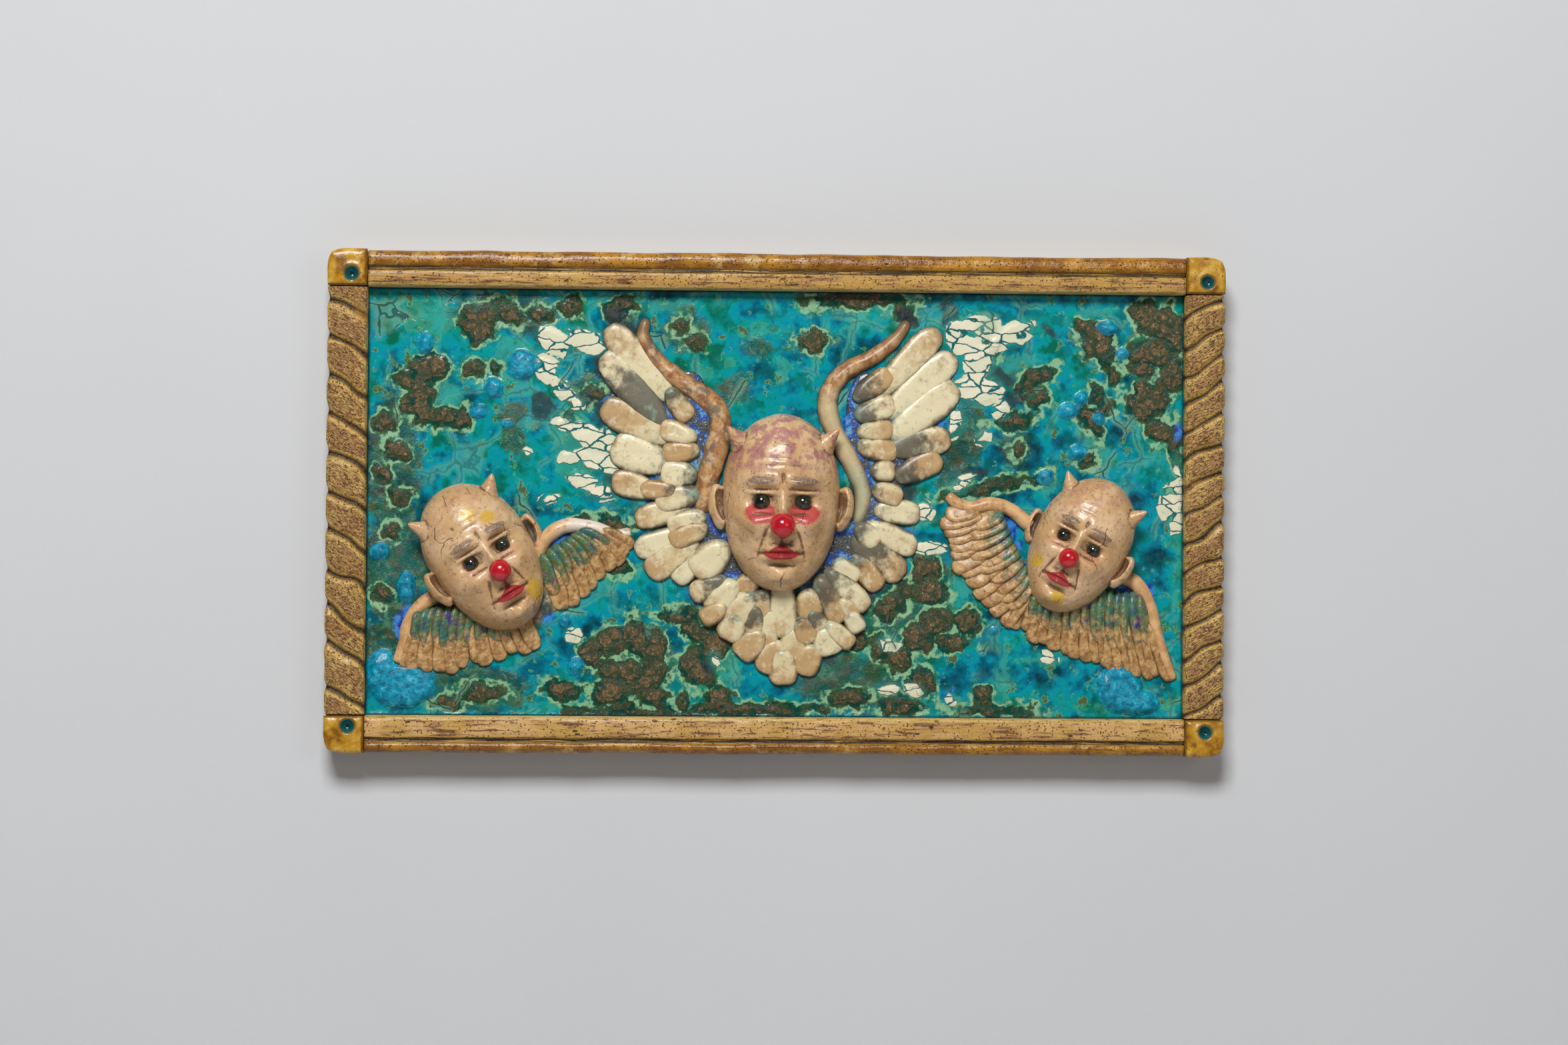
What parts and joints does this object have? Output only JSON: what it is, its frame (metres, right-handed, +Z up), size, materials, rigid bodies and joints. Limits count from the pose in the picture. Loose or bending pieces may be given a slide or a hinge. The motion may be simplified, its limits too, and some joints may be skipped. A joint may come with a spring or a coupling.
{
  "type": "ceramic wall tile",
  "caption": "Framed glazed ceramic wall tile with bald, horned imp heads between feathered wings in high relief on a turquoise ground.",
  "frame": {"origin": "centre of the flat back face, on the wall", "axes": "+X across the tile to the right as a viewer faces it, +Y into the wall, +Z up"},
  "size_m": [0.5, 0.0565, 0.279],
  "materials": {
    "turquoise_ground": "gloss, crazed turquoise glaze with rust and celadon pools",
    "ochre_frame": "satin ochre and amber glaze over pitted clay",
    "rope_frame": "worn ochre slip, pitted",
    "flesh": "satin buff-pink glaze with brown wash",
    "scarlet": "gloss scarlet glaze",
    "cream_feathers": "satin cream slip, smoke stained at the roots",
    "terracotta_feathers": "tan clay fading to green glaze"
  },
  "bodies": {
    "root": {"backing_slab": "turquoise_ground", "rail_top": "ochre_frame", "rail_bottom": "ochre_frame", "rope_rail_left": "rope_frame", "rope_rail_right": "rope_frame", "corner_block_top_left": "ochre_frame", "corner_block_top_right": "ochre_frame", "corner_block_bottom_left": "ochre_frame", "corner_block_bottom_right": "ochre_frame", "center_imp_head": "flesh", "left_imp_head": "flesh", "right_imp_head": "flesh", "center_imp_nose": "scarlet", "left_imp_nose": "scarlet", "right_imp_nose": "scarlet", "center_imp_wings": "cream_feathers", "left_imp_wings": "terracotta_feathers", "right_imp_wings": "terracotta_feathers"}
  },
  "joints": []
}
